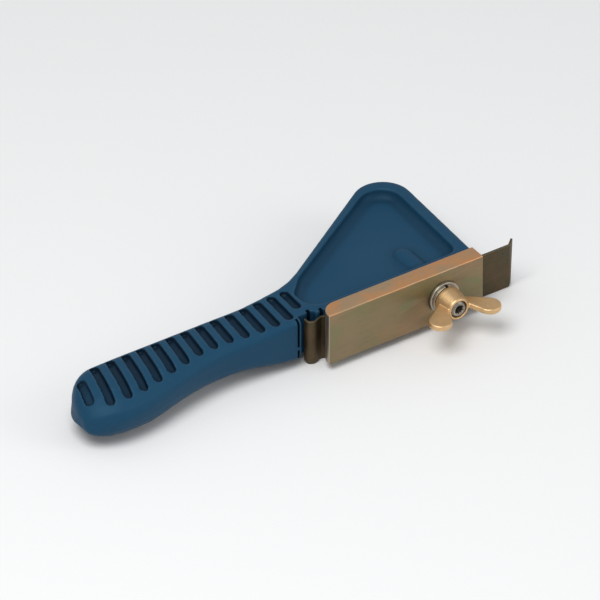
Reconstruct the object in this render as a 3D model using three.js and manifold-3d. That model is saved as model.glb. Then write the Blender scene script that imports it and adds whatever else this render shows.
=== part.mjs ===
// Hand tool with a clamped spring-steel blade: a ribbed moulded handle that widens into a flat
// triangular head, a blade along the head's front edge, and a clamp plate held by a wing nut.
// Millimetres. +X runs along the blade to its tip, +Y from the blade into the head, +Z up.
// Until the last line, X = 0 is just left of the blade, Y = 0 the head's front face and Z = 0 its top.
import * as THREE from "three";
import { mergeVertices } from "three/addons/utils/BufferGeometryUtils.js";
import Module from "manifold-3d";

// Moulded body
const THICKNESS = 21.7;
const HANDLE_END = -118.2;
const HANDLE_FAR = 27.5;
const HANDLE_OVERLAP = 10;
const BUTT_LENGTH = 18;
const BUTT_FULLNESS = 0.5;
const BUTT_CENTRE = [4, -12];
const EDGE_ROUNDING = 2;
const HEAD_LEFT = -5.8;
const HEAD_FRONT_RIGHT = 95.5;
const HEAD_APEX = [100.8, 87.4];
const HEAD_APEX_RADIUS = 14.3;
const HEAD_BLEND = [8.7, HANDLE_FAR];
const HEAD_BLEND_RADIUS = 47;

// Recess on the top and on the underside of the head
const TRAY_DEPTH = 4.8;
const TRAY_WALL = 3.3;
const TRAY_LEFT = 8;
const TRAY_FRONT = 6.2;
const TRAY_RIGHT = 89.6;
const TRAY_APEX = [94.2, 77.6];
const TRAY_APEX_RADIUS = 10.5;
const TRAY_SHOULDER = [17.5, 29.8];

// Ribbed grip
const GROOVE_WIDTH = 4;
const GROOVE_DEPTH = 2.6;
const GROOVE_FIRST = 3.7;
const GROOVE_LAST = -113;
const GROOVE_PITCH = 7.77;
const GROOVE_PITCH_GROWTH = 0.05;
const GROOVE_NEAR_INSETS = [9, 4, 3, 2.9, 3.2, 3.9, 4.4, 4.9, 5.1, 5.3, 5.4, 5.5, 5.7, 5.8, 10.7];
const GROOVE_FAR = 24.4;
const GROOVE_LAST_FAR = 20;
const GROOVE_SLANT = 3.5;
const GROOVE_SLANT_STEP = 0.85;

// Places for the blade's left end in the front face
const POCKET_LEFT = -0.6;
const POCKET_STEP = 8.2;
const POCKET_RIGHT = 18.5;
const POCKET_DEPTHS = [4.2, 1.9];
const NOTCH_PLACES = [5.8, 11.4];
const NOTCH_DEPTHS = [6.2, 4];
const NOTCH_WIDTH = 1.6;
const SLIT_PLACE = -2.5;
const SLIT_WIDTH = 1.2;
const SLIT_DEPTH = 2.8;
const SLIT_BRIDGE = [-16, -14.4];

// Clamp, all on the screw axis, which runs along Y
const SCREW_X = 70.2;
const SCREW_Z = -8.7;
const STUD_RADIUS = 4;
const STUD_BACK = 18;
const STUD_FRONT = -23.2;
const STUD_CHAMFER = 0.7;
const SOCKET_WIDTH = 4;
const SOCKET_DEPTH = 4.5;
const CLEARANCE = 0.3;
const FACE_GAP = 0.1;
const INSERT_RADIUS = 5.2;
const INSERT_LENGTH = 20;
const BOSS_RADIUS = 6.6;
const BOSS_END = 29;

// Blade
const BLADE_THICKNESS = 1;
const BLADE_TOP = -2.4;
const BLADE_BOTTOM = -26.2;
const BLADE_MIDDLE = -0.65;
const BLADE_WAVE = [
  [3, 3.2], [2.8, 1.5], [3.6, 0], [5.6, -0.7], [7.6, 0], [9.8, 0.8], [12.2, 0.2], [14.8, BLADE_MIDDLE],
];
const BLADE_BEND = [[112.8, BLADE_MIDDLE], [113.7, -0.35]];
const BLADE_TIP = [117, 2.7];
const BLADE_END_CUT = 2.6;
const BLADE_SLOT_HALF = 4.4;
const BLADE_SLIDE = 3;

// Clamp plate
const PLATE_LEFT = 7.3;
const PLATE_RIGHT = 92.4;
const PLATE_BACK = -1.25;
const PLATE_FRONT = -10.1;
const PLATE_TOP = 5;
const PLATE_BOTTOM = -22;
const PLATE_CORNER = 8;
const PLATE_EDGE = 0.4;

// Washers and wing nut
const WASHER_RADIUS = 8;
const WASHER_THICKNESS = 1.6;
const SPRING_WASHER_RADIUS = 7.2;
const SPRING_WASHER_THICKNESS = 1.5;
const SPRING_WASHER_GAP = 0.22;
const NUT_BASE_RADIUS = 6.9;
const NUT_TOP_RADIUS = 5.5;
const NUT_HEIGHT = 9.6;
const WING_THICKNESS = 2.8;
const WING_REACH = 13.6;
const WING_RISE = 14;
const WING_RADIUS = 5.6;
const WING_TILT = 3;
const WING_ROUNDING = 0.7;
const WING_ROOT = [2, 8.2];
const WING_ARM = [6.5, 5];
const WING_ARC = [-0.75, 2.9];

const wasm = await Module();
wasm.setup();

const plastic = { color: 0x2b5272, roughness: 0.6, metalness: 0 };
const plated = { color: 0xb99a62, roughness: 0.4, metalness: 0.9 };
const bladeSteel = { color: 0x57503f, roughness: 0.5, metalness: 0.85 };
const brightSteel = { color: 0xb4b0a6, roughness: 0.3, metalness: 0.95 };
const brass = { color: 0xb58a3c, roughness: 0.4, metalness: 0.9 };

function part(name, geometry, finish) {
  const mesh = new THREE.Mesh(geometry, new THREE.MeshStandardMaterial(finish));
  mesh.name = name;
  return mesh;
}

function solid(geometry) {
  const bare = geometry.clone();
  bare.deleteAttribute("normal");
  bare.deleteAttribute("uv");
  const merged = mergeVertices(bare, 1e-5);
  const vertProperties = new Float32Array(merged.attributes.position.array);
  const triVerts = new Uint32Array(merged.index.array);
  return new wasm.Manifold(new wasm.Mesh({ numProp: 3, vertProperties, triVerts }));
}

function surface(body) {
  const { vertProperties, triVerts } = body.getMesh();
  const geometry = new THREE.BufferGeometry();
  geometry.setAttribute("position", new THREE.BufferAttribute(vertProperties, 3));
  geometry.setIndex(new THREE.BufferAttribute(triVerts, 1));
  geometry.computeVertexNormals();
  return geometry;
}

function block(x, y, z) {
  const geometry = new THREE.BoxGeometry(x[1] - x[0], y[1] - y[0], z[1] - z[0]);
  return geometry.translate((x[0] + x[1]) / 2, (y[0] + y[1]) / 2, (z[0] + z[1]) / 2);
}

function rod(radius, front, back, sides = 32) {
  const geometry = new THREE.CylinderGeometry(radius, radius, back - front, sides);
  return geometry.translate(SCREW_X, (front + back) / 2, SCREW_Z);
}

// A ring round the screw axis, from its profile of [radius, y] points.
function turned(profile, sides = 32) {
  const points = profile.map(([radius, y]) => new THREE.Vector2(radius, y));
  return new THREE.LatheGeometry(points, sides).translate(SCREW_X, 0, SCREW_Z);
}

// A closed outline from [x, y, radius] corners, each rounded by an arc of its own radius.
function roundedOutline(corners, arcStep = 12) {
  const points = corners.flatMap(([x, y, radius], i) => {
    const corner = new THREE.Vector2(x, y);
    const before = new THREE.Vector2(...corners.at(i - 1)).sub(corner).normalize();
    const after = new THREE.Vector2(...corners[(i + 1) % corners.length]).sub(corner).normalize();
    return radius > 0 ? cornerArc(corner, before, after, radius, arcStep) : [corner];
  });
  return new THREE.Shape(points);
}

function cornerArc(corner, before, after, radius, arcStep) {
  const half = Math.acos(before.dot(after)) / 2;
  const middle = before.clone().add(after).normalize();
  const centre = corner.clone().addScaledVector(middle, radius / Math.sin(half));
  const start = corner.clone().addScaledVector(before, radius / Math.tan(half)).sub(centre);
  const turn = Math.PI - 2 * half;
  const side = Math.sign(before.cross(after));
  const steps = Math.max(2, Math.round(THREE.MathUtils.radToDeg(turn) / arcStep));
  const origin = new THREE.Vector2();
  return Array.from({ length: steps + 1 }, (_, i) =>
    start.clone().rotateAround(origin, (-side * turn * i) / steps).add(centre));
}

// Joins rings of equally many points into one closed skin.
function loft(rings) {
  const sides = rings[0].length;
  const last = (rings.length - 1) * sides;
  const index = [];
  for (let start = 0; start < last; start += sides) {
    for (let i = 0; i < sides; i += 1) {
      const here = start + i;
      const next = start + ((i + 1) % sides);
      index.push(here, next, here + sides, next, next + sides, here + sides);
    }
  }
  for (let i = 1; i + 1 < sides; i += 1) {
    index.push(0, i + 1, i, last, last + i, last + i + 1);
  }
  const geometry = new THREE.BufferGeometry();
  const position = rings.flat().flatMap((point) => point.toArray());
  geometry.setAttribute("position", new THREE.Float32BufferAttribute(position, 3));
  return geometry.setIndex(index);
}

// Handle sections: x, near side, underside, rounding of the lower and far edges, and the
// width and height of the crowned upper near edge.
const HANDLE_STATIONS = [
  [HANDLE_END, -5.5, -20.6, 5.5, 9, 18, 9.5],
  [-100, -8, -21.4, 9.2, 7, 20, 10],
  [-87, -7.2, -21.5, 8.5, 6.5, 18, 9],
  [-72, -4, -20.3, 8, 6.5, 15, 8],
  [-58, -0.8, -19.3, 7, 6.5, 11, 7],
  [-45, 1, -19, 6, 6.5, 9, 6],
  [-31, 1, -19.4, 6, 6.5, 7, 5],
  [-18, 0.3, -20.6, 4.5, 6.6, 4.5, 4],
  [-5, 0, -THICKNESS, 2.5, 4.2, 2.5, 2.5],
  [HANDLE_OVERLAP, 0.6, -THICKNESS, 2.5, 2.8, 2.5, 2.5],
];

const stationValues = new THREE.CubicInterpolant(
  HANDLE_STATIONS.map(([x]) => x),
  HANDLE_STATIONS.flatMap(([, ...values]) => values),
  HANDLE_STATIONS[0].length - 1,
);

function handleSection(x, inset, size, cornerSteps) {
  const [near, under, low, far, crownWidth, crownHeight] = stationValues.evaluate(x);
  const middle = new THREE.Vector2(...BUTT_CENTRE);
  const corners = [
    [HANDLE_FAR - far, -far, far, far],
    [near + crownWidth, -crownHeight, crownWidth, crownHeight],
    [near + low, under + low, low, low],
    [HANDLE_FAR - far, under + far, far, far],
  ];
  return corners.flatMap(([y, z, width, height], corner) =>
    Array.from({ length: cornerSteps + 1 }, (_, i) => {
      const angle = (corner + i / cornerSteps) * (Math.PI / 2);
      const point = new THREE.Vector2(y, z);
      point.x += Math.cos(angle) * (width - inset);
      point.y += Math.sin(angle) * (height - inset);
      point.sub(middle);
      const depth = THREE.MathUtils.smoothstep(-point.y, 0, 10);
      point.multiplyScalar(size ** (1 - BUTT_FULLNESS * depth)).add(middle);
      return new THREE.Vector3(x, point.x, point.y);
    }));
}

// The handle, or for the grooves' floors the same body shrunk by an inset, less so at the butt.
function handleLoft(inset) {
  const rings = [];
  const end = HANDLE_END + inset / 4;
  const buttSteps = 10;
  for (let i = 1; i <= buttSteps; i += 1) {
    const angle = (i / buttSteps) * (Math.PI / 2);
    const depth = i > 1 ? BUTT_LENGTH * (1 - Math.cos(angle)) : 0;
    rings.push(handleSection(end + depth, inset, Math.sin(angle), 4));
  }
  const start = end + BUTT_LENGTH;
  const spans = 16;
  for (let i = 1; i <= spans; i += 1) {
    rings.push(handleSection(start + ((HANDLE_OVERLAP - start) * i) / spans, inset, 1, 4));
  }
  return loft(rings);
}

function headBlank() {
  const outline = roundedOutline([
    [HEAD_LEFT, 0.3, 0], [HEAD_FRONT_RIGHT, 0, 3],
    [...HEAD_APEX, HEAD_APEX_RADIUS], [...HEAD_BLEND, HEAD_BLEND_RADIUS], [HEAD_LEFT, HANDLE_FAR - 1.2, 0],
  ], 9);
  const rounding = {
    depth: THICKNESS - 2 * EDGE_ROUNDING,
    bevelThickness: EDGE_ROUNDING,
    bevelSize: EDGE_ROUNDING,
    bevelOffset: -EDGE_ROUNDING,
    bevelSegments: 3,
  };
  return new THREE.ExtrudeGeometry(outline, rounding).translate(0, 0, EDGE_ROUNDING - THICKNESS);
}

// Cuts the top recess; moved down by the head's thickness it cuts the one on the underside.
function trayCutter(height) {
  const outline = roundedOutline([
    [TRAY_LEFT, TRAY_FRONT, 9], [TRAY_RIGHT, TRAY_FRONT, 6],
    [...TRAY_APEX, TRAY_APEX_RADIUS], [...TRAY_SHOULDER, 14], [TRAY_LEFT, 20, 5],
  ], 15);
  const fillet = {
    depth: 1,
    bevelThickness: TRAY_DEPTH,
    bevelSize: TRAY_WALL,
    bevelOffset: -TRAY_WALL,
    bevelSegments: 3,
  };
  return new THREE.ExtrudeGeometry(outline, fillet).translate(0, 0, height);
}

function boss() {
  const dome = [0, 1, 2, 3, 4].map((i) => {
    const angle = (i / 4) * (Math.PI / 2);
    return [BOSS_RADIUS * Math.cos(angle), BOSS_END - BOSS_RADIUS * (1 - Math.sin(angle))];
  });
  return turned([[0, 2], [BOSS_RADIUS, 2], ...dome]);
}

// One groove's plan: a slanted strip across the handle with round ends.
function grooveColumn(nearInset, i) {
  const x = Math.max(GROOVE_LAST, GROOVE_FIRST - GROOVE_PITCH * i - GROOVE_PITCH_GROWTH * i * i);
  const front = stationValues.evaluate(x)[0] + nearInset;
  const back = x > GROOVE_LAST ? GROOVE_FAR : GROOVE_LAST_FAR;
  const slant = THREE.MathUtils.degToRad(GROOVE_SLANT + GROOVE_SLANT_STEP * i);
  const length = (back - front) / Math.cos(slant);
  const half = GROOVE_WIDTH / 2;
  const round = half * 0.98;
  const outline = roundedOutline([
    [-half, 0, round], [half, 0, round], [half, length, round], [-half, length, round],
  ], 30);
  const column = { depth: THICKNESS + 4, bevelEnabled: false };
  const geometry = new THREE.ExtrudeGeometry(outline, column).rotateZ(-slant);
  return solid(geometry.translate(x, front, -THICKNESS - 2));
}

function grooves() {
  const columns = wasm.Manifold.union(GROOVE_NEAR_INSETS.map(grooveColumn));
  return columns.subtract(solid(handleLoft(GROOVE_DEPTH)));
}

function bladePlaces() {
  const all = [-THICKNESS - 3, 3];
  const notches = NOTCH_PLACES.map((x, i) =>
    block([x - NOTCH_WIDTH / 2, x + NOTCH_WIDTH / 2], [-3, NOTCH_DEPTHS[i]], all));
  const slit = [SLIT_PLACE - SLIT_WIDTH / 2, SLIT_PLACE + SLIT_WIDTH / 2];
  const cuts = [
    block([POCKET_LEFT, POCKET_STEP], [-3, POCKET_DEPTHS[0]], all),
    block([POCKET_LEFT, POCKET_RIGHT], [-3, POCKET_DEPTHS[1]], all),
    block(slit, [-3, SLIT_DEPTH], [all[0], SLIT_BRIDGE[0]]),
    block(slit, [-3, SLIT_DEPTH], [SLIT_BRIDGE[1], all[1]]),
    ...notches,
  ];
  return wasm.Manifold.union(cuts.map(solid));
}

function handleBody() {
  const trays = solid(trayCutter(0)).add(solid(trayCutter(-THICKNESS - 1)));
  const insertBore = solid(rod(INSERT_RADIUS + CLEARANCE, -1, INSERT_LENGTH + 2 * CLEARANCE));
  const body = solid(handleLoft(0))
    .add(solid(headBlank()))
    .subtract(trays)
    .add(solid(boss()))
    .subtract(insertBore)
    .subtract(grooves())
    .subtract(bladePlaces());
  return part("handle_body", surface(body), plastic);
}

function threadInsert() {
  const bore = STUD_RADIUS + CLEARANCE;
  const back = CLEARANCE + INSERT_LENGTH;
  const ring = [
    [bore, CLEARANCE], [INSERT_RADIUS, CLEARANCE], [INSERT_RADIUS, back], [bore, back], [bore, CLEARANCE],
  ];
  return part("thread_insert", turned(ring), brass);
}

function clampStud() {
  const blank = turned([
    [0, STUD_FRONT], [STUD_RADIUS - STUD_CHAMFER, STUD_FRONT], [STUD_RADIUS, STUD_FRONT + STUD_CHAMFER],
    [STUD_RADIUS, STUD_BACK - STUD_CHAMFER], [STUD_RADIUS - STUD_CHAMFER, STUD_BACK], [0, STUD_BACK],
  ]);
  const cornerRadius = SOCKET_WIDTH / Math.sqrt(3);
  const socket = rod(cornerRadius, STUD_FRONT - 1, STUD_FRONT + SOCKET_DEPTH, 6);
  return part("clamp_stud", surface(solid(blank).subtract(solid(socket))), brightSteel);
}

// A strip of even thickness along a line, seen from above.
function stripOutline(line, thickness) {
  const sides = line.map((point, i) => {
    const ahead = line[Math.min(i + 1, line.length - 1)];
    const behind = line[Math.max(i - 1, 0)];
    const across = ahead.clone().sub(behind).normalize().rotateAround(new THREE.Vector2(), Math.PI / 2);
    return across.multiplyScalar(thickness / 2);
  });
  const left = line.map((point, i) => point.clone().add(sides[i]));
  const right = line.map((point, i) => point.clone().sub(sides[i]));
  return new THREE.Shape([...right, ...left.reverse()]);
}

function planPoints(points) {
  return points.map(([x, y]) => new THREE.Vector2(x, y));
}

// A plan drawn in X and Z, as deep as a stretch of Y.
function sideBlock(outline, front, back) {
  const geometry = new THREE.ExtrudeGeometry(outline, { depth: back - front, bevelEnabled: false });
  return geometry.rotateX(Math.PI / 2).translate(0, back, 0);
}

// The stud's slot in the blade, open at the top and long enough for the blade to slide.
function bladeSlot() {
  const left = SCREW_X - BLADE_SLOT_HALF - BLADE_SLIDE;
  const right = SCREW_X + BLADE_SLOT_HALF;
  const bottom = SCREW_Z - BLADE_SLOT_HALF;
  const round = BLADE_SLOT_HALF * 0.98;
  return roundedOutline([
    [left, bottom, round], [right, bottom, round], [right, -BLADE_TOP, 0], [left, -BLADE_TOP, 0],
  ], 15);
}

// What the slanted right end leaves off, more of it at the bottom.
function bladeEnd() {
  const beyond = BLADE_TIP[0] + 1;
  const bottom = BLADE_BOTTOM - 1;
  return new THREE.Shape(planPoints([
    [beyond, bottom], [beyond, BLADE_TOP],
    [BLADE_TIP[0] + 0.4, BLADE_TOP], [BLADE_TIP[0] - BLADE_END_CUT, bottom],
  ]));
}

function blade() {
  const wave = new THREE.SplineCurve(planPoints(BLADE_WAVE));
  const line = [...wave.getPoints(24), ...planPoints([...BLADE_BEND, BLADE_TIP])];
  const strip = new THREE.ExtrudeGeometry(stripOutline(line, BLADE_THICKNESS), {
    depth: BLADE_TOP - BLADE_BOTTOM, bevelEnabled: false,
  }).translate(0, 0, BLADE_BOTTOM);
  const slot = solid(sideBlock(bladeSlot(), -2, 2));
  const end = solid(sideBlock(bladeEnd(), -5, 5));
  return part("blade", surface(solid(strip).subtract(slot).subtract(end)), bladeSteel);
}

function clampPlate() {
  const outline = roundedOutline([
    [PLATE_LEFT, PLATE_FRONT, 0], [PLATE_RIGHT, PLATE_FRONT, 0],
    [PLATE_RIGHT, PLATE_BACK, 0], [PLATE_LEFT, PLATE_BACK, PLATE_CORNER],
  ]);
  const edges = {
    depth: PLATE_TOP - PLATE_BOTTOM - 2 * PLATE_EDGE,
    bevelThickness: PLATE_EDGE,
    bevelSize: PLATE_EDGE,
    bevelOffset: -PLATE_EDGE,
    bevelSegments: 1,
  };
  const bar = new THREE.ExtrudeGeometry(outline, edges).translate(0, 0, PLATE_BOTTOM + PLATE_EDGE);
  const hole = rod(STUD_RADIUS + CLEARANCE, PLATE_FRONT - 1, PLATE_BACK + 1);
  return part("clamp_plate", surface(solid(bar).subtract(solid(hole))), plated);
}

const WASHER_BACK = PLATE_FRONT - FACE_GAP;
const SPRING_WASHER_BACK = WASHER_BACK - WASHER_THICKNESS - FACE_GAP;
const NUT_BASE = SPRING_WASHER_BACK - SPRING_WASHER_THICKNESS - FACE_GAP;

function flatWasher() {
  const bore = STUD_RADIUS + CLEARANCE;
  const front = WASHER_BACK - WASHER_THICKNESS;
  const edge = 0.3;
  const ring = [
    [bore, front], [WASHER_RADIUS - edge, front], [WASHER_RADIUS, front + edge],
    [WASHER_RADIUS, WASHER_BACK], [bore, WASHER_BACK], [bore, front],
  ];
  return part("flat_washer", turned(ring, 40), brightSteel);
}

function springWasher() {
  const outline = new THREE.Shape();
  const from = Math.PI / 2 + SPRING_WASHER_GAP / 2;
  const to = from + 2 * Math.PI - SPRING_WASHER_GAP;
  outline.absarc(0, 0, SPRING_WASHER_RADIUS, from, to, false);
  outline.absarc(0, 0, STUD_RADIUS + CLEARANCE, to, from, true);
  const ring = new THREE.ExtrudeGeometry(outline, {
    depth: SPRING_WASHER_THICKNESS, bevelEnabled: false, curveSegments: 18,
  });
  ring.rotateX(Math.PI / 2).translate(SCREW_X, SPRING_WASHER_BACK, SCREW_Z);
  return part("spring_washer", ring, brightSteel);
}

// Half of the wing nut's wings: a lobe on an arm that leaves the hub.
function wing(side) {
  const lobe = new THREE.Shape();
  lobe.moveTo(0, WING_ROOT[0]);
  lobe.lineTo(WING_ARM[0], WING_ROOT[0]);
  lobe.absarc(WING_REACH, WING_RISE, WING_RADIUS, ...WING_ARC, false);
  lobe.lineTo(WING_ARM[1], WING_ROOT[1]);
  lobe.lineTo(0, WING_ROOT[1]);
  const web = new THREE.ExtrudeGeometry(lobe, {
    depth: WING_THICKNESS - 2 * WING_ROUNDING,
    bevelThickness: WING_ROUNDING,
    bevelSize: WING_ROUNDING,
    bevelOffset: -WING_ROUNDING,
    bevelSegments: 2,
    curveSegments: 14,
  });
  web.translate(0, 0, WING_ROUNDING - WING_THICKNESS / 2);
  return side > 0 ? web.rotateX(Math.PI) : web.rotateZ(Math.PI);
}

function wingNut() {
  const top = NUT_BASE - NUT_HEIGHT;
  const edge = 0.5;
  const hub = turned([
    [0, top], [NUT_TOP_RADIUS - edge, top], [NUT_TOP_RADIUS, top + edge],
    [NUT_BASE_RADIUS, NUT_BASE - 1.4], [NUT_BASE_RADIUS, NUT_BASE], [0, NUT_BASE],
  ]);
  const wings = [1, -1].map((side) => solid(wing(side).translate(SCREW_X, NUT_BASE, SCREW_Z)));
  const bore = rod(STUD_RADIUS + CLEARANCE, top - 1, NUT_BASE + 1);
  const nut = solid(hub).add(wings[0]).add(wings[1]).subtract(solid(bore));
  const geometry = surface(nut).translate(-SCREW_X, 0, -SCREW_Z);
  geometry.rotateY(THREE.MathUtils.degToRad(WING_TILT)).translate(SCREW_X, 0, SCREW_Z);
  return part("wing_nut", geometry, plated);
}

const tool = new THREE.Group();
const clamp = new THREE.Group();
clamp.add(clampStud(), threadInsert(), flatWasher(), springWasher(), wingNut(), clampPlate());
tool.add(handleBody(), blade(), clamp);

// The origin goes to the middle of the tool's footprint, at the blade's lower edge.
const extent = new THREE.Box3().setFromObject(tool);
const middle = extent.getCenter(new THREE.Vector3());
tool.position.set(-middle.x, -middle.y, -extent.min.z);

export default tool;
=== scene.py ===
"""Looks of the hand tool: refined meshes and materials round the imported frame, floor, light, camera."""
import math

import bmesh
import bpy
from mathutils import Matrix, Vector


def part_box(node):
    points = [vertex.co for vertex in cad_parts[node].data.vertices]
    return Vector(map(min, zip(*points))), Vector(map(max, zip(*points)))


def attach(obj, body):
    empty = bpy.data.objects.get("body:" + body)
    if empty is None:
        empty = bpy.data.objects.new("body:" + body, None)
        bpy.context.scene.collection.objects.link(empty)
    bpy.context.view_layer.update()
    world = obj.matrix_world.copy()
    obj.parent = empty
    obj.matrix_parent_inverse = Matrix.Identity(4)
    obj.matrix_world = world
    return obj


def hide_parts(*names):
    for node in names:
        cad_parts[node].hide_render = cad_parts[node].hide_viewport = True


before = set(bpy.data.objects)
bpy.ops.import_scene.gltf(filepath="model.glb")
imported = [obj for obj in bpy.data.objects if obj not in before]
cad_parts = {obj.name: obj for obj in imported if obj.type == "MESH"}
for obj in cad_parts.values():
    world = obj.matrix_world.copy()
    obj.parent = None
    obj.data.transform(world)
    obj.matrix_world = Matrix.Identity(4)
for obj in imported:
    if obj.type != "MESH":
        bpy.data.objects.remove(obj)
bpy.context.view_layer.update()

MM = 0.001
TAU = 2 * math.pi

# Places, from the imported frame: the screw's axis and each clamp piece's lowest and highest corner.
stud_low, stud_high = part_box("clamp_stud")
insert_low, insert_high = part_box("thread_insert")
plate_low, plate_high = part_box("clamp_plate")
blade_low, blade_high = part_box("blade")
washer_low, washer_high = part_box("flat_washer")
spring_low, spring_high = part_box("spring_washer")
SCREW = (stud_low + stud_high) / 2

# ORIGIN is just left of the blade, on the head's front face and level with its top.
SCREW_RUN = 70.2 * MM
PLATE_GAP = 1.25 * MM
PLATE_RISE = 5 * MM
ORIGIN = Vector((SCREW.x - SCREW_RUN, plate_high.y + PLATE_GAP, plate_high.z - PLATE_RISE))

# Cuts in the head's front face for the blade's left end: x, y and z spans in mm from ORIGIN.
NOTCHES = [((5.0, 6.6), (-3, 6.2), (-25, 3)), ((10.6, 12.2), (-3, 4), (-25, 3))]
SLIT = [((-3.1, -1.9), (-3, 2.8), (-25, -16)), ((-3.1, -1.9), (-3, 2.8), (-14.4, 3))]

# Screw and insert
BORE_RADIUS = 4.3 * MM
AXIS_RADIUS = 0.02 * MM
THREAD_PITCH = 1.25 * MM
THREAD_DEPTH = 0.62 * MM
THREAD_CREST = 0.12
STUD_CHAMFER = 0.85 * MM
SOCKET_HALF_WIDTH = 2.0 * MM
SOCKET_DEPTH = 4.4 * MM
KNURL_DEPTH = 0.24 * MM
KNURL_TEETH = 40

# Plate
PLATE_CORNER = 8 * MM
PLATE_EDGE = 0.45 * MM

# Blade: its middle line from above, in mm from the screw's axis and the head's front face.
BLADE_MIDDLE = -0.65
BLADE_WAVE = [
    (-67.2, 3.2), (-67.4, 1.5), (-66.6, 0.0), (-64.6, -0.7),
    (-62.6, 0.0), (-60.4, 0.8), (-58.0, 0.2), (-55.4, BLADE_MIDDLE),
]
BLADE_STRAIGHT = [-50, -20, 10, 36]
BLADE_BEND = [(42.6, BLADE_MIDDLE), (43.5, -0.35), (46.8, 2.7)]
BLADE_THICKNESS = 1 * MM
BLADE_EDGE = 0.12 * MM
BLADE_GRIND = 1.6 * MM
BLADE_SLOT_HALF = 4.4 * MM
BLADE_SLIDE = 3 * MM
BLADE_END_CUT = 2.9 * MM

# View
LENS = 1000
SENSOR = 36
VIEW_WIDTH = 272.727 * MM
VIEW_SHIFT = (-1.6 * MM, 9.1 * MM)


# --- Mesh tools -----------------------------------------------------------------------------------

def add_object(name, mesh, sharp_angle=35):
    mesh.polygons.foreach_set("use_smooth", [True] * len(mesh.polygons))
    mesh.set_sharp_from_angle(angle=math.radians(sharp_angle))
    piece = bpy.data.objects.new(name, mesh)
    bpy.context.scene.collection.objects.link(piece)
    return piece


def mesh_from(name, points, faces):
    mesh = bpy.data.meshes.new(name)
    mesh.from_pydata([tuple(point) for point in points], [], faces)
    mesh.validate()
    tidy = bmesh.new()
    tidy.from_mesh(mesh)
    bmesh.ops.remove_doubles(tidy, verts=tidy.verts, dist=1e-7)
    bmesh.ops.recalc_face_normals(tidy, faces=tidy.faces)
    tidy.to_mesh(mesh)
    tidy.free()
    return mesh


def loft(name, rings, closed=False):
    """Joins rings of equally many points, with flat ends unless the last ring meets the first."""
    sides = len(rings[0])
    points = [point for ring in rings for point in ring]
    spans = len(rings) if closed else len(rings) - 1
    faces = []
    for span in range(spans):
        here = span * sides
        there = (span + 1) % len(rings) * sides
        for i in range(sides):
            j = (i + 1) % sides
            faces.append((here + i, here + j, there + j, there + i))
    if not closed:
        faces.append(tuple(range(sides)))
        faces.append(tuple(range(len(points) - sides, len(points))))
    return mesh_from(name, points, faces)


def revolve(name, rows, segments=96):
    """Turns rows of (radius, y) about the screw's axis. A radius may be a function of angle and y."""
    rings = []
    for radius, y in rows:
        ring = []
        for i in range(segments):
            angle = TAU * i / segments
            reach = radius(angle, y) if callable(radius) else radius
            ring.append((SCREW.x + reach * math.sin(angle), y, SCREW.z + reach * math.cos(angle)))
        rings.append(ring)
    return loft(name, rings, closed=rows[0] == rows[-1])


def refined(node, name, voxel, smoothing):
    """The CAD node's solid, evenly remeshed, with its edges melted to small fillets."""
    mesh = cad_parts[node].data.copy()
    mesh.materials.clear()
    weld = bmesh.new()
    weld.from_mesh(mesh)
    bmesh.ops.remove_doubles(weld, verts=weld.verts, dist=1e-7)
    weld.to_mesh(mesh)
    weld.free()
    piece = add_object(name, mesh)
    remesh = piece.modifiers.new("even", "REMESH")
    remesh.mode = "VOXEL"
    remesh.voxel_size = voxel
    smooth = piece.modifiers.new("fillet", "SMOOTH")
    smooth.factor = 0.5
    smooth.iterations = smoothing
    return apply_modifiers(piece)


def apply_modifiers(piece, sharp_angle=180):
    depsgraph = bpy.context.evaluated_depsgraph_get()
    mesh = bpy.data.meshes.new_from_object(piece.evaluated_get(depsgraph))
    piece.modifiers.clear()
    piece.data = mesh
    mesh.polygons.foreach_set("use_smooth", [True] * len(mesh.polygons))
    mesh.set_sharp_from_angle(angle=math.radians(sharp_angle))
    return piece


def blocks(name, spans):
    """Boxes given as x, y and z spans, in mm from ORIGIN."""
    sides = [(i, (i + 1) % 4, (i + 1) % 4 + 4, i + 4) for i in range(4)]
    box_faces = [(3, 2, 1, 0), (4, 5, 6, 7)] + sides
    points, faces = [], []
    for x, y, z in spans:
        first = len(points)
        for level in z:
            plan = [(x[0], y[0]), (x[1], y[0]), (x[1], y[1]), (x[0], y[1])]
            points += [ORIGIN + Vector((*corner, level)) * MM for corner in plan]
        faces += [tuple(first + i for i in face) for face in box_faces]
    return mesh_from(name, points, faces)


def cut(piece, cutter_mesh, sharp_angle=180):
    cutter = add_object("cutter", cutter_mesh)
    boolean = piece.modifiers.new("cut", "BOOLEAN")
    boolean.operation = "DIFFERENCE"
    boolean.solver = "EXACT"
    boolean.object = cutter
    apply_modifiers(piece, sharp_angle)
    bpy.data.objects.remove(cutter)


def soften_edges(piece, width):
    bevel = piece.modifiers.new("edges", "BEVEL")
    bevel.width = width
    bevel.segments = 3
    bevel.limit_method = "ANGLE"
    bevel.angle_limit = math.radians(30)
    apply_modifiers(piece, sharp_angle=50)


def finish_piece(piece, body, nodes, material):
    piece.data.materials.clear()
    piece.data.materials.append(material)
    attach(piece, body)
    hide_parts(*nodes)


# --- Material tools -------------------------------------------------------------------------------

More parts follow.
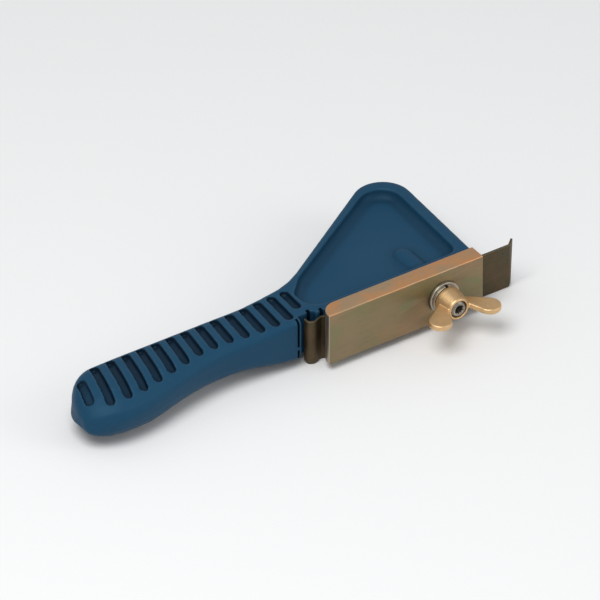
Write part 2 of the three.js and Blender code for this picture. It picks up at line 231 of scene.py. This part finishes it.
class Finish:
    """A Principled material whose colour, roughness and bump come from texture nodes."""

    def __init__(self, name, metallic, roughness=0.5):
        self.material = bpy.data.materials.new(name)
        self.material.use_nodes = True
        self.tree = self.material.node_tree
        self.shader = self.tree.nodes["Principled BSDF"]
        self.shader.inputs["Metallic"].default_value = metallic
        self.shader.inputs["Roughness"].default_value = roughness
        coordinates = self.node("ShaderNodeTexCoord")
        self.place = coordinates.outputs["Object"]
        self.normal = coordinates.outputs["Normal"]
        self.height = None

    def node(self, kind, inputs=None, **settings):
        made = self.tree.nodes.new(kind)
        for key, value in settings.items():
            setattr(made, key, value)
        for key, value in (inputs or {}).items():
            if isinstance(value, bpy.types.NodeSocket):
                self.tree.links.new(value, made.inputs[key])
            else:
                made.inputs[key].default_value = value
        return made

    def noise(self, scale, detail=4, roughness=0.55, stretch=(1, 1, 1), shift=(0, 0, 0)):
        mapping = self.node("ShaderNodeMapping", {"Vector": self.place, "Scale": stretch, "Location": shift})
        inputs = {"Vector": mapping.outputs[0], "Scale": scale, "Detail": detail, "Roughness": roughness}
        return self.node("ShaderNodeTexNoise", inputs).outputs[0]

    def ramp(self, value, low, high, start=0.0, end=1.0):
        inputs = {"Value": value, 1: low, 2: high, 3: start, 4: end}
        return self.node("ShaderNodeMapRange", inputs).outputs[0]

    def math(self, operation, first, second):
        return self.node("ShaderNodeMath", {0: first, 1: second}, operation=operation).outputs[0]

    def mix(self, factor, first, second):
        made = self.node("ShaderNodeMix", data_type="RGBA")
        for index, value in ((0, factor), (6, first), (7, second)):
            if isinstance(value, bpy.types.NodeSocket):
                self.tree.links.new(value, made.inputs[index])
            else:
                made.inputs[index].default_value = value
        return made.outputs[2]

    def colour(self, value):
        self.tree.links.new(value, self.shader.inputs["Base Color"])

    def roughness(self, value):
        self.tree.links.new(value, self.shader.inputs["Roughness"])

    def bump(self, height, distance, strength=1.0):
        inputs = {"Height": height, "Distance": distance, "Strength": strength}
        made = self.node("ShaderNodeBump", inputs)
        if self.height is not None:
            self.tree.links.new(self.height, made.inputs["Normal"])
        self.height = made.outputs[0]
        self.tree.links.new(self.height, self.shader.inputs["Normal"])

    def edges(self, width):
        """1 along edges, 0 on flats."""
        rounded = self.node("ShaderNodeBevel", {"Radius": width}, samples=6).outputs[0]
        flat = self.node("ShaderNodeNewGeometry").outputs["Normal"]
        likeness = self.node("ShaderNodeVectorMath", {0: rounded, 1: flat}, operation="DOT_PRODUCT")
        return self.ramp(likeness.outputs["Value"], 0.995, 0.85)

    def hollows(self, reach):
        """Mask for painted shade: 1 deep in narrow hollows, 0 in the open."""
        shade = self.node("ShaderNodeAmbientOcclusion", {"Distance": reach}, samples=8, only_local=True)
        return self.ramp(shade.outputs["AO"], 0.95, 0.76)

    def axis(self, index):
        return self.node("ShaderNodeSeparateXYZ", {0: self.place}).outputs[index]


def rgb(red, green, blue):
    return (red, green, blue, 1.0)


# --- Materials ------------------------------------------------------------------------------------

def moulded_plastic():
    finish = Finish("moulded_blue_plastic", metallic=0.0)
    cloud = finish.noise(38, detail=3)
    mottle = finish.noise(260, detail=5)
    base = finish.mix(cloud, rgb(0.004, 0.038, 0.085), rgb(0.008, 0.048, 0.096))
    base = finish.mix(finish.ramp(mottle, 0.35, 0.75, 0, 0.35), base, rgb(0.010, 0.055, 0.092))
    # Painted highlight: convex edges and rib tops are made lighter, broken up by the mottle.
    pointiness = finish.node("ShaderNodeNewGeometry").outputs["Pointiness"]
    edge_highlight = finish.ramp(pointiness, 0.51, 0.56, 0, 0.6)
    edge_highlight = finish.math("MULTIPLY", edge_highlight, finish.ramp(mottle, 0.3, 0.6, 0.4, 1))
    base = finish.mix(edge_highlight, base, rgb(0.026, 0.080, 0.130))
    # Painted shade: the grooves and the tray's corners are darkened through the hollows mask.
    finish.colour(finish.mix(finish.hollows(5 * MM), base, rgb(0.0012, 0.008, 0.020)))
    finish.roughness(finish.ramp(mottle, 0.2, 0.8, 0.46, 0.62))
    finish.shader.inputs["Specular IOR Level"].default_value = 0.27
    finish.shader.inputs["Specular Tint"].default_value = rgb(0.5, 0.78, 1.0)
    grain = finish.noise(2600, detail=2)
    finish.bump(grain, 0.05 * MM, 0.5)
    scuffs = finish.noise(420, detail=6, roughness=0.7, stretch=(1, 0.25, 1))
    finish.bump(finish.ramp(scuffs, 0.60, 0.66), 0.03 * MM, 0.4)
    return finish.material


def plated_bar():
    """Drawn steel under yellow passivation, olive on the face; the lighter, more orange top is painted
    reflection.
    """
    finish = Finish("plated_bar", metallic=1.0)
    cloud = finish.noise(45, detail=4, stretch=(0.5, 1, 1.2))
    patch = finish.noise(70, detail=3, shift=(0.3, 0.1, 0.2))
    flush = finish.noise(55, detail=3, stretch=(0.7, 1, 1), shift=(0.7, 0.4, 0.9))
    marks = finish.noise(300, detail=6, roughness=0.75, stretch=(0.3, 1, 1.6))
    face = finish.mix(finish.ramp(cloud, 0.35, 0.65), rgb(0.225, 0.185, 0.095), rgb(0.265, 0.205, 0.125))
    face = finish.mix(finish.ramp(patch, 0.48, 0.62, 0, 0.7), face, rgb(0.205, 0.205, 0.110))
    face = finish.mix(finish.ramp(flush, 0.52, 0.66, 0, 0.6), face, rgb(0.330, 0.205, 0.115))
    # Painted reflection: the top face gets a lighter, more orange colour than the front face.
    top = finish.mix(finish.ramp(patch, 0.38, 0.6), rgb(0.72, 0.36, 0.16), rgb(0.54, 0.37, 0.22))
    height = finish.ramp(finish.axis(2), plate_high.z - 0.7 * MM, plate_high.z - 0.2 * MM)
    gold = finish.mix(height, face, top)
    gold = finish.mix(finish.ramp(marks, 0.55, 0.75, 0, 0.35), gold, rgb(0.16, 0.135, 0.085))
    # Painted highlight along the plate's edges, kept weaker near the front face.
    behind = finish.ramp(finish.axis(1), plate_low.y + 1 * MM, plate_low.y + 3 * MM, 0.35, 1)
    edge_highlight = finish.math("MULTIPLY", finish.edges(0.6 * MM), behind)
    gold = finish.mix(edge_highlight, gold, rgb(0.66, 0.58, 0.46))
    # Painted light: faces turned to the left are given a lighter colour.
    left_end_painted_light = finish.ramp(finish.node("ShaderNodeSeparateXYZ", {0: finish.normal}).outputs[0], -0.3, -0.7)
    finish.colour(finish.mix(left_end_painted_light, gold, rgb(0.42, 0.36, 0.28)))
    finish.roughness(finish.ramp(marks, 0.3, 0.7, 0.34, 0.5))
    finish.bump(finish.noise(900, detail=4, stretch=(0.02, 1, 1)), 0.03 * MM, 0.5)
    return finish.material


def plated_casting():
    finish = Finish("plated_casting", metallic=1.0)
    cloud = finish.noise(120, detail=4)
    marks = finish.noise(420, detail=6, roughness=0.7)
    gold = finish.mix(finish.ramp(cloud, 0.35, 0.65), rgb(0.64, 0.44, 0.23), rgb(0.76, 0.50, 0.26))
    gold = finish.mix(finish.ramp(marks, 0.55, 0.75, 0, 0.4), gold, rgb(0.36, 0.25, 0.12))
    # Painted highlight: lighter along the edges.
    finish.colour(finish.mix(finish.edges(0.4 * MM), gold, rgb(0.85, 0.68, 0.44)))
    finish.roughness(finish.ramp(marks, 0.3, 0.7, 0.38, 0.54))
    finish.bump(finish.noise(700, detail=4), 0.14 * MM, 0.8)
    return finish.material


def blade_steel():
    finish = Finish("tempered_blade_steel", metallic=1.0)
    lines = finish.noise(1100, detail=4, stretch=(0.03, 1, 1))
    cloud = finish.noise(90, detail=5, roughness=0.65)
    base = finish.mix(finish.ramp(cloud, 0.35, 0.65), rgb(0.092, 0.076, 0.042), rgb(0.145, 0.102, 0.062))
    tint = finish.noise(130, detail=3, shift=(0.2, 0.6, 0.1))
    base = finish.mix(finish.ramp(tint, 0.5, 0.64, 0, 0.6), base, rgb(0.088, 0.088, 0.060))
    base = finish.mix(finish.ramp(lines, 0.55, 0.8, 0, 0.4), base, rgb(0.17, 0.13, 0.09))
    specks = finish.noise(900, detail=3, shift=(0.5, 0, 0))
    base = finish.mix(finish.ramp(specks, 0.66, 0.72, 0, 0.7), base, rgb(0.035, 0.020, 0.010))
    # Painted highlight: lighter along the edges.
    finish.colour(finish.mix(finish.edges(0.25 * MM), base, rgb(0.34, 0.30, 0.25)))
    finish.roughness(finish.ramp(cloud, 0.3, 0.7, 0.54, 0.70))
    finish.bump(lines, 0.02 * MM, 0.5)
    finish.bump(specks, 0.03 * MM, 0.3)
    return finish.material


def turned_steel(name, dark, light, low_roughness):
    """Steel with fine turned rings round the screw's axis."""
    finish = Finish(name, metallic=1.0)
    centred = finish.node("ShaderNodeVectorMath", {0: finish.place, 1: (SCREW.x, 0, SCREW.z)},
                          operation="SUBTRACT").outputs[0]
    spread = finish.node("ShaderNodeVectorMath", {0: centred, 1: (1, 0, 1)},
                         operation="MULTIPLY").outputs[0]
    distance = finish.node("ShaderNodeVectorMath", {0: spread}, operation="LENGTH").outputs["Value"]
    rings = finish.node("ShaderNodeTexNoise", {"W": distance, "Scale": 5200, "Detail": 3},
                        noise_dimensions="1D").outputs[0]
    cloud = finish.noise(240, detail=5, roughness=0.65)
    base = finish.mix(finish.ramp(cloud, 0.3, 0.7), dark, light)
    finish.colour(finish.mix(finish.ramp(rings, 0.5, 0.8, 0, 0.3), base, rgb(0.85, 0.82, 0.76)))
    finish.roughness(finish.ramp(cloud, 0.3, 0.7, low_roughness, low_roughness + 0.14))
    finish.bump(rings, 0.02 * MM, 0.5)
    return finish.material


# --- Pieces ---------------------------------------------------------------------------------------

def make_body(material):
    piece = refined("handle_body", "handle_body_moulding", voxel=0.6 * MM, smoothing=8)
    cut(piece, blocks("notches", NOTCHES + SLIT), sharp_angle=40)
    finish_piece(piece, "handle", ["handle_body"], material)


def make_wing_nut(material):
    piece = refined("wing_nut", "wing_nut_casting", voxel=0.28 * MM, smoothing=5)
    finish_piece(piece, "nut", ["wing_nut"], material)


def thread(outer, front):
    """Radius of a V thread at an angle and y, running out in a chamfer at the stud's front end."""
    def radius(angle, y):
        turn = (y / THREAD_PITCH + angle / TAU) % 1.0
        groove = max(0.0, abs(turn - 0.5) * 2 - THREAD_CREST) / (1 - THREAD_CREST)
        return min(outer - THREAD_DEPTH * groove, outer - STUD_CHAMFER + y - front)
    return radius


def hexagon(half_width):
    def radius(angle, _):
        return half_width / math.cos(angle % (TAU / 6) - TAU / 12)
    return radius


def make_stud(material):
    outer = (stud_high.x - stud_low.x) / 2
    front, back = stud_low.y, stud_high.y
    socket = hexagon(SOCKET_HALF_WIDTH)
    floor = front + SOCKET_DEPTH
    rows = [
        (AXIS_RADIUS, floor + 0.8 * MM), (1.6 * MM, floor + 0.1 * MM), (socket, floor),
        (socket, front + 0.45 * MM), (2.4 * MM, front + 0.12 * MM), (2.5 * MM, front),
        (outer - 0.95 * MM, front),
    ]
    spiral = thread(outer, front)
    step = THREAD_PITCH / 10
    count = int((back - front - 1.0 * MM) / step)
    rows += [(spiral, front + 0.1 * MM + step * i) for i in range(count)]
    rows += [(outer - 0.7 * MM, back), (AXIS_RADIUS, back)]
    piece = add_object("stud_threaded", revolve("stud_threaded", rows, 72), 40)
    finish_piece(piece, "handle", ["clamp_stud"], material)


def ring_rows(inner, outer, front, back, edge):
    """A ring's section with rounded edges, as rows for revolve that end where they start."""
    corner = [(math.sin(TAU / 4 * i / 4), math.cos(TAU / 4 * i / 4)) for i in range(5)]
    rows = [(outer - edge + edge * s, front + edge - edge * c) for s, c in corner]
    rows += [(outer - edge + edge * c, back - edge + edge * s) for s, c in corner]
    rows += [(inner + edge - edge * s, back - edge + edge * c) for s, c in corner]
    rows += [(inner + edge - edge * c, front + edge - edge * s) for s, c in corner]
    return rows + [rows[0]]


def make_flat_washer(material):
    outer = (washer_high.x - washer_low.x) / 2
    rows = ring_rows(BORE_RADIUS, outer, washer_low.y, washer_high.y, edge=0.35 * MM)
    piece = add_object("flat_washer_turned", revolve("flat_washer_turned", rows, 120))
    finish_piece(piece, "clamp_stack", ["flat_washer"], material)


def make_spring_washer(material):
    outer = (spring_high.x - spring_low.x) / 2
    lift = 0.12 * MM
    gap = 0.2
    steps = 120
    front, back = spring_low.y + lift / 2, spring_high.y - lift / 2
    rows = ring_rows(BORE_RADIUS, outer, front, back, edge=0.2 * MM)
    rings = []
    for i in range(steps + 1):
        along = i / steps
        angle = gap / 2 + (TAU - gap) * along
        shift = lift * (along - 0.5)
        rings.append([
            (SCREW.x + reach * math.sin(angle), y + shift, SCREW.z + reach * math.cos(angle))
            for reach, y in rows[:-1]
        ])
    piece = add_object("spring_washer_split", loft("spring_washer_split", rings))
    finish_piece(piece, "clamp_stack", ["spring_washer"], material)


def make_insert(material):
    outer = (insert_high.x - insert_low.x) / 2
    front, back = insert_low.y, insert_high.y

    def knurl(angle, _):
        return outer - KNURL_DEPTH / 2 * (1 + math.cos(angle * KNURL_TEETH))

    band = (back - front) / 5
    rows = [(BORE_RADIUS, front), (outer - 0.5 * MM, front), (outer - 0.3 * MM, front + 0.4 * MM)]
    for start in (0.6, 2.6):
        low = front + band * start
        rows += [(outer - 0.6 * MM, low), (knurl, low + 0.1 * MM)]
        rows += [(knurl, low + band * 1.5), (outer - 0.6 * MM, low + band * 1.5 + 0.1 * MM)]
    rows += [(outer - 0.5 * MM, back), (BORE_RADIUS, back), rows[0]]
    piece = add_object("insert_knurled", revolve("insert_knurled", rows, 240), 40)
    finish_piece(piece, "handle", ["thread_insert"], material)


def plate_section():
    """The bar seen from above: square in front, with one round back corner, at the left."""
    steps = 24
    x, y = plate_low.x + PLATE_CORNER, plate_high.y - PLATE_CORNER
    angles = [TAU / 4 * i / steps for i in range(steps + 1)]
    arc = [(x - PLATE_CORNER * math.sin(angle), y + PLATE_CORNER * math.cos(angle)) for angle in angles]
    return [(plate_low.x, plate_low.y), (plate_high.x, plate_low.y), (plate_high.x, plate_high.y)] + arc


def screw_rod(radius, front, back):
    return revolve("rod", [(AXIS_RADIUS, front), (radius, front), (radius, back), (AXIS_RADIUS, back)])


def make_plate(material):
    rings = [[(x, y, z) for x, y in plate_section()] for z in (plate_low.z, plate_high.z)]
    piece = add_object("clamp_bar", loft("clamp_bar", rings))
    cut(piece, screw_rod(BORE_RADIUS, plate_low.y - MM, plate_high.y + MM))
    soften_edges(piece, PLATE_EDGE)
    finish_piece(piece, "plate", ["clamp_plate"], material)


def spline(points, steps):
    """A Catmull-Rom curve through plan points."""
    ends = [points[0]] + points + [points[-1]]
    curve = []
    for i in range(len(points) - 1):
        a, b, c, d = (Vector(p) for p in ends[i:i + 4])
        for step in range(steps):
            t = step / steps
            near = 2 * b + (c - a) * t
            far = (2 * a - 5 * b + 4 * c - d) * t ** 2 + (3 * b - a - 3 * c + d) * t ** 3
            curve.append((near + far) / 2)
    return curve + [Vector(points[-1])]


def blade_line():
    straight = [Vector((x, BLADE_MIDDLE)) for x in BLADE_STRAIGHT]
    return spline(BLADE_WAVE, 10) + straight + spline(BLADE_BEND, 5)


def blade_section():
    """The strip cut across, as (s, z) with s measured from its middle: rounded top, ground lower edge."""
    half = BLADE_THICKNESS / 2
    low, high = blade_low.z, blade_high.z
    return [
        (half, high - BLADE_EDGE), (half - BLADE_EDGE, high),
        (BLADE_EDGE - half, high), (-half, high - BLADE_EDGE),
        (-half, low + BLADE_GRIND), (half - 0.35 * MM, low),
        (half - 0.1 * MM, low), (half, low + BLADE_EDGE),
    ]


def make_blade(material):
    section = blade_section()
    line = blade_line()
    rings = []
    for i, point in enumerate(line):
        ahead = line[min(i + 1, len(line) - 1)] - line[max(i - 1, 0)]
        across = Vector((-ahead.y, ahead.x)).normalized()
        centre = Vector((SCREW.x + point.x * MM, ORIGIN.y + point.y * MM))
        rings.append([(centre.x + across.x * s, centre.y + across.y * s, z) for s, z in section])
    piece = add_object("blade_ground", loft("blade_ground", rings))
    cut(piece, stud_slot())
    cut(piece, end_wedge())
    piece.data.set_sharp_from_angle(angle=math.radians(30))
    finish_piece(piece, "blade", ["blade"], material)


def stud_slot():
    """Cutter for the blade's open slot for the stud, long enough for the blade's slide."""
    half = BLADE_SLOT_HALF
    above = blade_high.z + 3 * MM
    rings = []
    for y in (plate_high.y - 3 * MM, plate_high.y + 6 * MM):
        ring = [(SCREW.x + half, y, above)]
        for centre, start in ((SCREW.x, 0.0), (SCREW.x - BLADE_SLIDE, TAU / 4)):
            for i in range(9):
                angle = start + TAU / 4 * i / 8
                ring.append((centre + half * math.cos(angle), y, SCREW.z - half * math.sin(angle)))
        ring.append((SCREW.x - BLADE_SLIDE - half, y, above))
        rings.append(ring)
    return loft("slot", rings)


def end_wedge():
    """Cutter that takes the blade's right end off at a slight slant, shorter at the bottom."""
    right = blade_high.x
    below, above = blade_low.z - MM, blade_high.z + MM
    outline = [
        (right + 2 * MM, below), (right + 2 * MM, above),
        (right + 0.1 * MM, above), (right - BLADE_END_CUT, below),
    ]
    return loft("wedge", [[(x, y, z) for x, z in outline] for y in (blade_low.y - MM, blade_high.y + MM)])


def make_pieces():
    plastic = moulded_plastic()
    bright = turned_steel("bright_washer_steel", rgb(0.34, 0.30, 0.25), rgb(0.52, 0.48, 0.42), 0.28)
    dark = turned_steel("stud_steel", rgb(0.20, 0.18, 0.15), rgb(0.40, 0.37, 0.31), 0.36)
    brass = turned_steel("turned_brass", rgb(0.50, 0.33, 0.12), rgb(0.66, 0.46, 0.18), 0.22)
    make_body(plastic)
    make_insert(brass)
    make_stud(dark)
    make_flat_washer(bright)
    make_spring_washer(bright)
    make_wing_nut(plated_casting())
    make_plate(plated_bar())
    make_blade(blade_steel())


# --- Floor, light and camera ----------------------------------------------------------------------

def make_floor():
    half = 14.0
    points = [(-half, -half, 0), (half, -half, 0), (half, half, 0), (-half, half, 0)]
    floor = add_object("floor", mesh_from("floor", points, [(0, 1, 2, 3)]))
    finish = Finish("pale_paper", metallic=0.0, roughness=0.9)
    grain = finish.noise(900, detail=3)
    finish.colour(finish.mix(grain, rgb(0.755, 0.755, 0.755), rgb(0.785, 0.785, 0.785)))
    floor.data.materials.append(finish.material)


def area_light(name, place, size, power):
    light = bpy.data.lights.new(name, "AREA")
    light.shape = "DISK"
    light.size = size
    light.energy = power
    lamp = bpy.data.objects.new(name, light)
    bpy.context.scene.collection.objects.link(lamp)
    lamp.location = place
    lamp.rotation_euler = (-Vector(place)).to_track_quat("-Z", "Y").to_euler()


def make_lights():
    world = bpy.data.worlds.new("soft_room")
    bpy.context.scene.world = world
    world.use_nodes = True
    background = world.node_tree.nodes["Background"]
    background.inputs["Color"].default_value = rgb(0.97, 0.985, 1.0)
    background.inputs["Strength"].default_value = 0.56
    area_light("key", place=(-0.55, -0.35, 1.25), size=0.9, power=13.5)
    area_light("fill", place=(0.9, -1.0, 0.7), size=0.8, power=3.5)


def make_camera():
    """A long lens, for a view that is nearly free of perspective."""
    right = Vector((0.827, -0.562, 0.0)).normalized()
    back = Vector((-0.459, -0.675, 0.577)).normalized()
    up = back.cross(right)
    distance = VIEW_WIDTH * LENS / SENSOR
    centre = ORIGIN + right * VIEW_SHIFT[0] + up * VIEW_SHIFT[1]
    camera = bpy.data.cameras.new("camera")
    camera.lens = LENS
    camera.sensor_width = SENSOR
    camera.clip_end = 20
    rig = bpy.data.objects.new("camera", camera)
    bpy.context.scene.collection.objects.link(rig)
    rig.location = centre + back * distance
    rig.rotation_euler = (-back).to_track_quat("-Z", "Y").to_euler()
    bpy.context.scene.camera = rig


make_pieces()
make_floor()
make_lights()
make_camera()
bpy.context.scene.view_settings.view_transform = "Standard"
